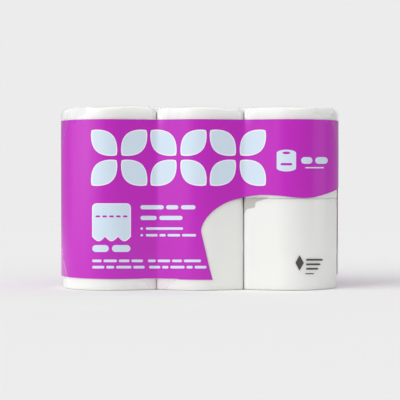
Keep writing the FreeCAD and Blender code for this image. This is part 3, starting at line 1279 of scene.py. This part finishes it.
@dataclass
class TissueRoll:
    """One roll of tissue, wound round an open bore."""

    column: int
    level: int
    materials: Materials
    sides: int = 192
    wall_steps: int = 20
    rim_steps: int = 6
    turns: int = 24
    soft_rim: float = 6.5
    plain_rim: float = 0.8
    softness: float = 24.0
    corner_press: float = 0.7

    # Rings of turns that slipped: from which to which share of the way out, and how far down
    SLIPS = ((0.06, 0.17, 0.7), (0.30, 0.36, 0.35), (0.52, 0.66, 0.5), (0.80, 0.86, 0.3))
    COLUMN_NAMES = {-1: "left", 0: "middle", 1: "right"}
    LEVEL_NAMES = {0: "lower", 1: "upper"}

    @property
    def label(self) -> str:
        """The roll's place in words."""
        return f"{self.LEVEL_NAMES[self.level]}_{self.COLUMN_NAMES[self.column]}"

    @property
    def axis(self) -> float:
        """Where the roll's axis stands, from the pack's middle."""
        return self.column * PACK.lobe

    @property
    def base(self) -> float:
        """Height of the roll's lower end."""
        return PACK.film_wall + self.level * PACK.roll_height

    def side_reach(self, offset: np.ndarray) -> np.ndarray:
        """Distance from the roll's axis to its side.

        A soft roll is flat where it meets its neighbour, and it pushes into the corner
        between the neighbour and the film.

        Args:
            offset: Directions from the axis, in plan.

        Returns:
            The distances.
        """
        middle = self.column == 0
        flat = PACK.middle_half if middle else PACK.flat
        radius = PACK.bend if middle else PACK.roll_radius
        centre = Vector((0.0, PACK.roll_radius - radius))
        corner = Vector((flat, PACK.roll_radius - PACK.valley_depth))
        spots = [tangent_point(centre, radius, corner, way) for way in (-1, 1)]
        touch = max(spots, key=lambda spot: spot.y)
        facing = (touch - centre).normalized()
        toward = np.abs(offset[:, 0]) if middle else -self.column * offset[:, 0]
        turn = np.where(toward > 0, np.arctan2(toward, np.abs(offset[:, 1])), 0.0)
        turn = np.maximum(turn, 1e-6)
        rise = centre.y * np.cos(turn)
        arc = rise + np.sqrt(radius**2 - centre.y**2 + rise**2)
        film = facing.dot(corner) / np.cos(turn - math.atan2(facing.x, facing.y))
        power = -self.softness
        meeting = (film**power + (flat / np.sin(turn)) ** power) ** (1 / power)
        return np.where(turn < math.atan2(touch.x, touch.y), arc, meeting)

    def circle(self, radius: float, height: float) -> bpy.types.Object:
        """Draw a circle round the roll's axis.

        Args:
            radius: Its radius.
            height: Its height.

        Returns:
            Its object.
        """
        spot = (self.axis * MM, 0.0, height * MM)
        bpy.ops.mesh.primitive_circle_add(vertices=self.sides, radius=radius * MM, location=spot)
        bpy.ops.object.transform_apply(location=True, rotation=True, scale=True)
        return bpy.context.view_layer.objects.active

    def outline(self) -> bpy.types.Object:
        """Draw the roll's outline in plan as one loop.

        Returns:
            Its object.
        """
        item = self.circle(PACK.roll_radius, self.base + self.rim(False))
        loop = item.data.vertices
        offset = np.array([(vertex.co.x / MM - self.axis, vertex.co.y / MM) for vertex in loop])
        plan = offset * (self.side_reach(offset) / PACK.roll_radius)[:, None] + (self.axis, 0.0)
        for vertex, (x, y) in zip(loop, plan):
            vertex.co.x, vertex.co.y = x * MM, y * MM
        return item

    def rim(self, upper_end: bool) -> float:
        """Radius of the round rim of one end.

        Args:
            upper_end: Whether this is the roll's upper end.

        Returns:
            The radius.
        """
        return self.soft_rim if upper_end and self.level == 1 else self.plain_rim

    @staticmethod
    def pick(wanted: Callable[[float, float, float], bool]) -> None:
        """Select the wanted points of the active mesh, in edit mode.

        Args:
            wanted: Says of a point whether it is wanted.
        """
        item = bpy.context.view_layer.objects.active
        bpy.ops.object.mode_set(mode="EDIT")
        bpy.ops.mesh.select_all(action="DESELECT")
        bpy.ops.mesh.select_mode(type="VERT")
        bpy.ops.object.mode_set(mode="OBJECT")
        for vertex in item.data.vertices:
            vertex.select = wanted(*vertex.co)
        bpy.ops.object.mode_set(mode="EDIT")

    def grow(self, rise: float, shrink: float) -> None:
        """Extend the selected loop by one step.

        Args:
            rise: How far up the step goes.
            shrink: The next loop's size over this one's.
        """
        bpy.ops.mesh.extrude_region_move(TRANSFORM_OT_translate={"value": (0.0, 0.0, rise * MM)})
        centre = (self.axis * MM, 0.0, 0.0)
        bpy.ops.transform.resize(value=(shrink, shrink, 1.0), center_override=centre)

    def round_rim(self, radius: float, way: int) -> None:
        """Carry the selected loop round the rim onto an end.

        Args:
            radius: The rim's radius.
            way: 1 for the upper end, -1 for the lower.
        """
        before = (0.0, 0.0)
        for step in range(1, self.rim_steps + 1):
            turn = math.pi / 2 * step / self.rim_steps
            inset, rise = radius * (1 - math.cos(turn)), radius * math.sin(turn)
            shrink = (PACK.roll_radius - inset) / (PACK.roll_radius - before[0])
            self.grow(way * (rise - before[1]), shrink)
            before = (inset, rise)

    def build(self) -> bpy.types.Object:
        """Model the roll.

        Returns:
            The roll's object.
        """
        item = self.outline()
        item.name = f"tissue_{self.label}"
        lower, upper = self.rim(False), self.rim(True)
        self.pick(lambda x, y, z: True)
        run = PACK.roll_height - lower - upper
        for _ in range(self.wall_steps):
            self.grow(run / self.wall_steps, 1.0)
        self.round_rim(upper, 1)
        start = (self.base + lower) * MM
        self.pick(lambda x, y, z: abs(z - start) < 1e-6)
        self.round_rim(lower, -1)
        self.add_bore(item)
        for end in (self.base * MM, (self.base + PACK.roll_height) * MM):
            self.pick(lambda x, y, z: abs(z - end) < 1e-6)
            bpy.ops.mesh.bridge_edge_loops(number_cuts=self.turns, interpolation="LINEAR")
        bpy.ops.mesh.select_all(action="SELECT")
        bpy.ops.mesh.normals_make_consistent(inside=False)
        bpy.ops.object.mode_set(mode="OBJECT")
        self.settle(item)
        self.soften(item)
        bpy.ops.object.shade_smooth_by_angle(angle=math.radians(40))
        item.data.materials.append(self.materials.tissue)
        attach(item, "root")
        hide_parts(f"roll_{self.label}")
        LOG.info("%s: %d faces", item.name, len(item.data.polygons))
        return item

    def add_bore(self, item: bpy.types.Object) -> None:
        """Add the wall of the bore.

        Args:
            item: The roll's object.
        """
        bpy.ops.object.mode_set(mode="OBJECT")
        self.circle(PACK.bore, self.base)
        self.pick(lambda x, y, z: True)
        self.grow(PACK.roll_height, 1.0)
        bpy.ops.mesh.select_all(action="SELECT")
        bpy.ops.mesh.flip_normals()
        bpy.ops.object.mode_set(mode="OBJECT")
        item.select_set(True)
        bpy.context.view_layer.objects.active = item
        bpy.ops.object.join()

    def settle(self, item: bpy.types.Object) -> None:
        """Mark the turns, press in the corners where four rolls meet, and let some turns slip.

        Args:
            item: The roll's object.
        """
        # A turn's number grows from the bore outwards, alike on every side
        points = np.zeros(len(item.data.vertices) * 3)
        item.data.vertices.foreach_get("co", points)
        axis = (self.axis, 0.0, 0.0)
        points = points.reshape(-1, 3) / MM - axis
        reach = np.hypot(points[:, 0], points[:, 1])
        outer = self.side_reach(points[:, :2]) - 5.0
        share = np.clip((reach - PACK.bore) / (outer - PACK.bore), 0.0, 1.0)
        turns = item.data.attributes.new("turn", "FLOAT", "POINT")
        turns.data.foreach_set("value", share * (PACK.roll_radius - PACK.bore))

        # The corners give way round the joint between the layers
        joint = PACK.film_wall + PACK.roll_height
        flat = PACK.middle_half if self.column == 0 else PACK.flat
        corner = math.atan2(PACK.roll_radius - PACK.valley_depth, flat)
        toward = np.abs(points[:, 0]) if self.column == 0 else -self.column * points[:, 0]
        away = np.arctan2(np.abs(points[:, 1]), toward) - corner
        near = np.exp(-((away / 0.40) ** 2) - ((points[:, 2] - joint) / 9.0) ** 2)
        near *= reach >= PACK.roll_radius - 12.0
        points[:, :2] *= (1.0 - self.corner_press * near / reach)[:, None]

        # Rings of the top end slip down, on each roll a little elsewhere
        top = 2 * PACK.roll_height + PACK.film_wall
        for index, (first, last, drop) in enumerate(self.SLIPS):
            shift = 0.05 * (self.column + index % 2)
            ring = (share > first + shift) & (share < last + shift)
            points[ring & (np.abs(points[:, 2] - top) < 1e-3), 2] -= drop
        item.data.vertices.foreach_set("co", ((points + axis) * MM).ravel())
        item.data.update()

    def soften(self, item: bpy.types.Object) -> None:
        """Give the paper the slight unevenness of a soft roll.

        Args:
            item: The roll's object.
        """
        activate(item)
        cloud = bpy.data.textures.new(f"soft_{self.label}", "CLOUDS")
        cloud.noise_scale = 0.022
        swell = item.modifiers.new("soft", "DISPLACE")
        swell.texture = cloud
        swell.strength = 0.5 * MM
        swell.mid_level = 0.55
        bpy.ops.object.modifier_apply(modifier=swell.name)


@dataclass
class Cores:
    """The six cardboard cores, as the CAD has them."""

    materials: Materials

    def build(self) -> None:
        """Give the cores their card."""
        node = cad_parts["cardboard_cores"]
        node.data.materials.clear()
        node.data.materials.append(self.materials.card)
        LOG.info("cores: card")


@dataclass
class Studio:
    """Floor, lights, surroundings and camera."""

    background: Colour = field(default_factory=lambda: linear(236, 236, 236))
    floor_colour: Colour = (0.905, 0.905, 0.905)
    near_colour: Colour = (0.886, 0.940, 0.880)
    sun_strength: float = 1.62
    sun_azimuth: float = -60.0
    sun_height: float = 28.0
    sun_spread: float = 50.0
    around: float = 0.655
    front_light: float = 0.765
    gloss_base: Point = (0.22, 0.35)
    softboxes: Tuple[Tuple[Tuple[float, float, float], Point, float], ...] = (
        ((-0.86, -0.46, 0.18), (0.62, 0.96), 1.1),
        ((0.05, -0.35, 0.94), (0.80, 0.95), 1.8),
        ((0.95, -0.28, 0.12), (0.93, 0.97), 0.6),
    )
    lens: float = 122.6
    camera_place: Tuple[float, float, float] = (0.0, -1.5647, 0.125)
    camera_tilt: float = -0.925

    def build(self) -> None:
        """Set up everything round the pack."""
        self.add_floor()
        self.add_sun()
        self.add_world()
        self.add_camera()
        LOG.info("studio ready")

    def add_floor(self) -> None:
        """A pale floor that fades into the surroundings far from the pack."""
        bpy.ops.mesh.primitive_plane_add(size=12.0, location=(0.0, 0.0, 0.0))
        floor = bpy.context.view_layer.objects.active
        floor.name = "floor"
        material = bpy.data.materials.new("floor_paper")
        material.use_nodes = True
        material.node_tree.nodes.clear()
        graph = Graph(material.node_tree)
        place = graph.add("TexCoord", {}).outputs["Object"]
        paper = graph.add("BsdfDiffuse", {"Color": self.even_out(graph, place)})
        clear = graph.add("BsdfTransparent", {})
        reach = graph.add("VectorMath", {0: place}, operation="LENGTH")
        fade = graph.span(reach.outputs["Value"], (0.6, 2.6), (0.0, 1.0))
        inputs = {"Fac": fade, 1: paper.outputs["BSDF"], 2: clear.outputs["BSDF"]}
        mix = graph.add("MixShader", inputs)
        graph.add("OutputMaterial", {"Surface": mix.outputs["Shader"]})
        floor.data.materials.append(material)

    def even_out(self, graph: Graph, place: Socket) -> Socket:
        """Take the film's coloured glow off the floor in front of the pack.

        Args:
            graph: The floor's nodes.
            place: Coordinates on the floor.

        Returns:
            Colour of the floor's paper.
        """
        inputs = {"Location": (0.45, 1.0, 0.0), "Scale": (5.4, 7.5, 1.0), "Vector": place}
        squeeze = graph.add("Mapping", inputs)
        reach = graph.add("VectorMath", {0: squeeze.outputs["Vector"]}, operation="LENGTH")
        near = graph.span(reach.outputs["Value"], (0.25, 1.5), (1.0, 0.0))
        colours = {"Color1": (*self.floor_colour, 1.0), "Color2": (*self.near_colour, 1.0)}
        return graph.add("MixRGB", {**colours, "Fac": near}).outputs["Color"]

    def add_sun(self) -> None:
        """A broad light from the left and in front, so that the shadow falls to the right."""
        light = bpy.data.lights.new("softbox", "SUN")
        light.energy = self.sun_strength
        light.angle = math.radians(self.sun_spread)
        lamp = bpy.data.objects.new("softbox", light)
        azimuth, height = math.radians(self.sun_azimuth), math.radians(self.sun_height)
        source = Vector((
            math.sin(azimuth) * math.cos(height),
            -math.cos(azimuth) * math.cos(height),
            math.sin(height),
        ))  # fmt: skip
        lamp.rotation_euler = source.to_track_quat("Z", "Y").to_euler()
        bpy.context.scene.collection.objects.link(lamp)

    def add_world(self) -> None:
        """Surroundings: the background for the camera, soft light, and softboxes for the gloss."""
        world = bpy.data.worlds.new("surroundings")
        world.use_nodes = True
        world.node_tree.nodes.clear()
        bpy.context.scene.world = world
        graph = Graph(world.node_tree)
        white = (1.0, 1.0, 1.0, 1.0)
        seen = graph.add("Background", {"Color": (*self.background, 1.0)})
        place = graph.add("TexCoord", {}).outputs["Generated"]
        back = graph.add("SeparateXYZ", {"Vector": place}).outputs["Y"]
        ambient = graph.span(back, (-1.0, 0.4), (self.front_light, self.around))
        lit = graph.add("Background", {"Color": white, "Strength": ambient})
        total = graph.span(back, (-0.6, 0.5), self.gloss_base)
        for towards, edge, gain in self.softboxes:
            inputs = {0: place, 1: Vector(towards).normalized()}
            facing = graph.add("VectorMath", inputs, operation="DOT_PRODUCT")
            box = graph.span(facing.outputs["Value"], edge, (0.0, gain))
            total = graph.add("Math", {0: total, 1: box}).outputs["Value"]
        gloss = graph.add("Background", {"Color": white, "Strength": total})
        path = graph.add("LightPath", {})
        for share, ground in (("Is Glossy Ray", gloss), ("Is Camera Ray", seen)):
            inputs = {"Fac": path.outputs[share], 1: lit.outputs[0], 2: ground.outputs[0]}
            lit = graph.add("MixShader", inputs)
        graph.add("OutputWorld", {"Surface": lit.outputs[0]})

    def add_camera(self) -> None:
        """The camera, in front of the pack and level with its middle."""
        data = bpy.data.cameras.new("camera")
        data.lens = self.lens
        data.sensor_width = 36.0
        camera = bpy.data.objects.new("camera", data)
        camera.location = self.camera_place
        camera.rotation_euler = (math.radians(90.0 + self.camera_tilt), 0.0, 0.0)
        bpy.context.scene.collection.objects.link(camera)
        bpy.context.scene.camera = camera
        bpy.context.scene.view_settings.view_transform = "Standard"


def main() -> None:
    """Build the pack and its surroundings."""
    materials = Materials()
    for level in (0, 1):
        for column in (-1, 0, 1):
            TissueRoll(column, level, materials).build()
    Cores(materials).build()
    FilmWrap(materials).build()
    Studio().build()


if __name__ == "__main__":
    main()
